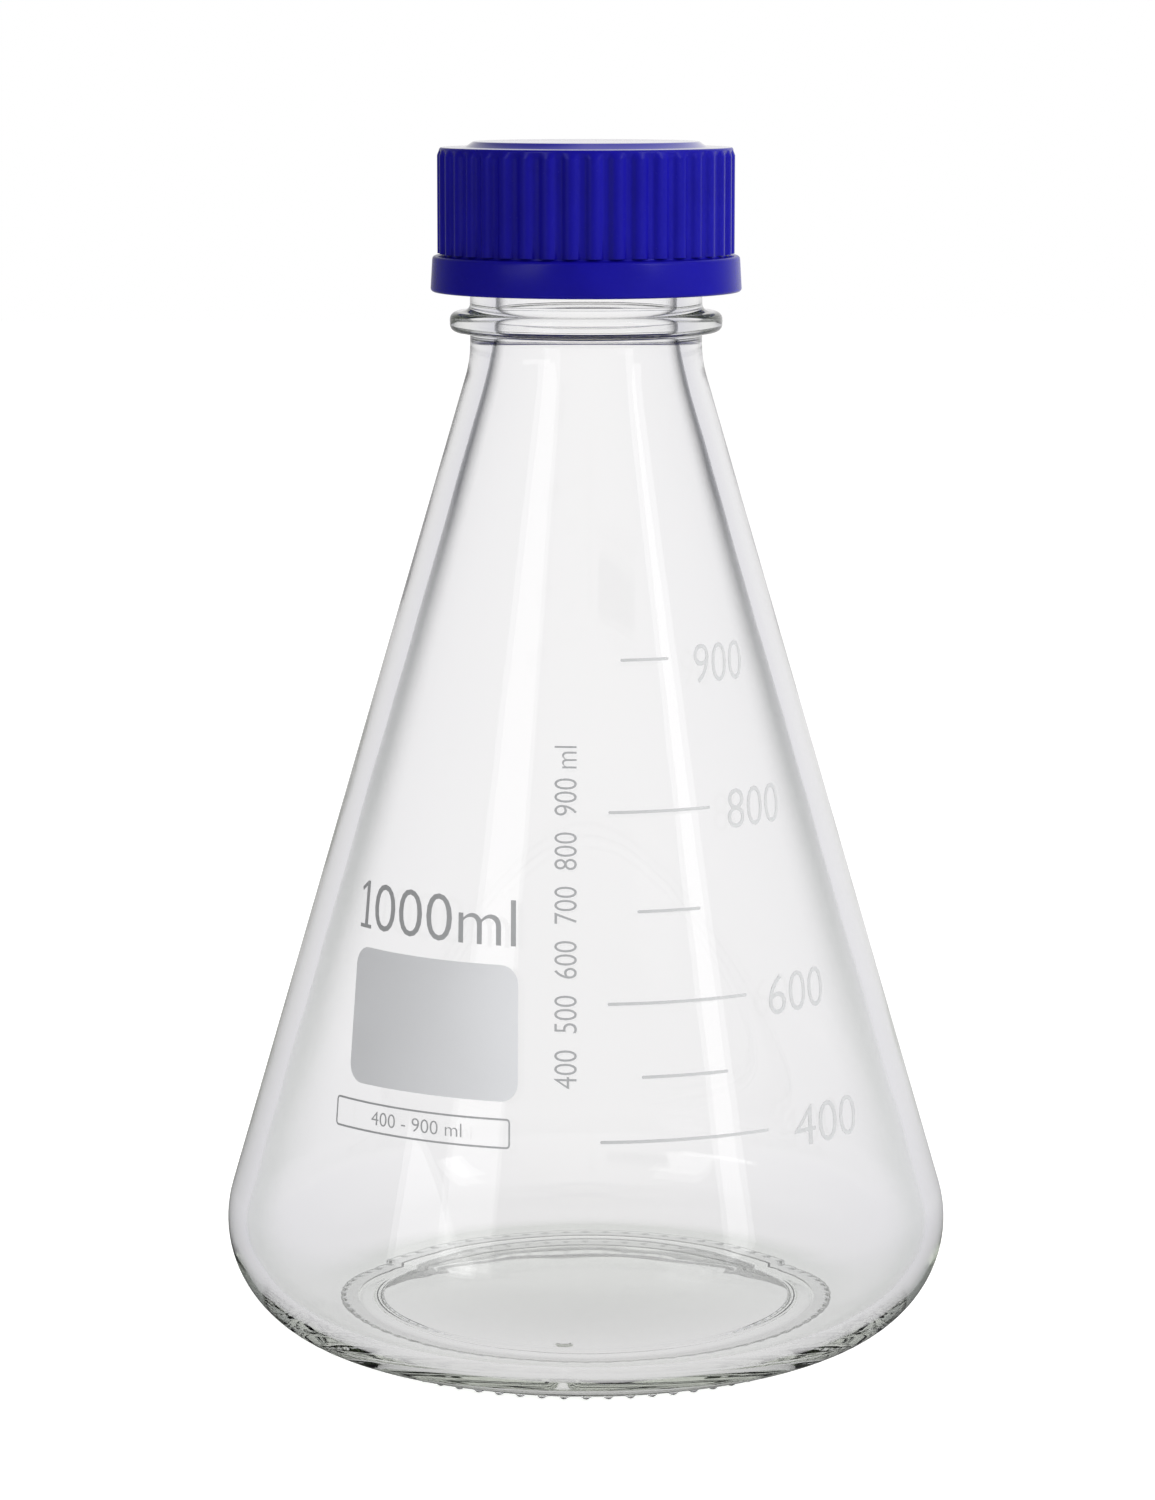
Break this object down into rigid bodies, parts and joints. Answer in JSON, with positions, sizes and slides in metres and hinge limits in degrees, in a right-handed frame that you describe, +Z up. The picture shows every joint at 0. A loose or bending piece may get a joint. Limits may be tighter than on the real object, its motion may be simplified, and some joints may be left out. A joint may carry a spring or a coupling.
{
  "type": "screw-cap conical flask",
  "caption": "Clear conical glass flask with a threaded neck and bead, a clipped-on pouring ring, a soft seal disc and a ribbed blue screw cap that turns and lifts on its thread.",
  "frame": {"origin": "on the table, under the centre of the base", "axes": "+Z up along the flask's axis, towards the cap; -Y is the front, which carries the printed scale"},
  "size_m": [0.128, 0.128, 0.2118],
  "materials": {
    "glass": "clear moulded glass with a faint grey-green tint",
    "ring_plastic": "moulded polypropylene, satin",
    "seal": "moulded silicone rubber, matt",
    "cap_plastic": "moulded polypropylene, satin",
    "enamel": "pale grey enamel, screen printed on the glass and fired; no node is made of it"
  },
  "bodies": {
    "glass_body": {"flask": "glass", "pouring_ring": "ring_plastic"},
    "seal": {"cap_seal": "seal"},
    "cap": {"screw_cap": "cap_plastic"}
  },
  "joints": [
    {"name": "cap_lift", "type": "slide", "parent": "glass_body", "child": "seal", "axis": [0, 0, 1], "range_m": [0, 0.032]},
    {"name": "cap_turn", "type": "hinge", "parent": "seal", "child": "cap", "pos_m": [0, 0, 0.195], "axis": [0, 0, 1], "range_deg": [0, 2880]}
  ],
  "couplings": [
    {"joint": "cap_lift", "follows": "cap_turn", "m_per_rad": 0.00063662}
  ]
}
